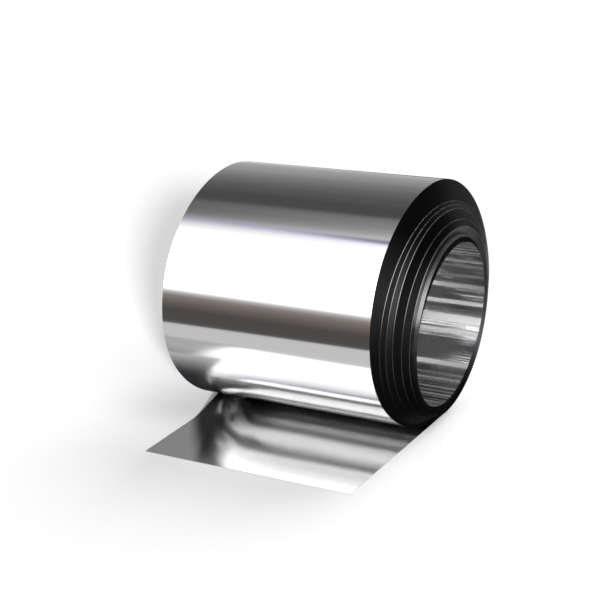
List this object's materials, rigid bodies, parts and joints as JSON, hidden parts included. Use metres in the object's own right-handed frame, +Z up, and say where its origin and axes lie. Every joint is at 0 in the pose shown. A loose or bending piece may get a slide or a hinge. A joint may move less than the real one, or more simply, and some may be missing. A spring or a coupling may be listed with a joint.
{
  "type": "stainless steel strip coil",
  "caption": "Coil of polished stainless strip on its side, open round bore, telescoped turn edges, last turn laid out flat as a tail.",
  "frame": {"origin": "centre of the bore, half way along the outer turns", "axes": "+X along the bore axis, towards the end where the inner turns stand out; +Z up; the free tail of the strip runs towards -Y on the floor"},
  "size_m": [0.2242, 0.2618, 0.2067],
  "materials": {
    "stainless": "polished"
  },
  "bodies": {
    "root": {"strip_coil": "stainless"}
  },
  "joints": []
}
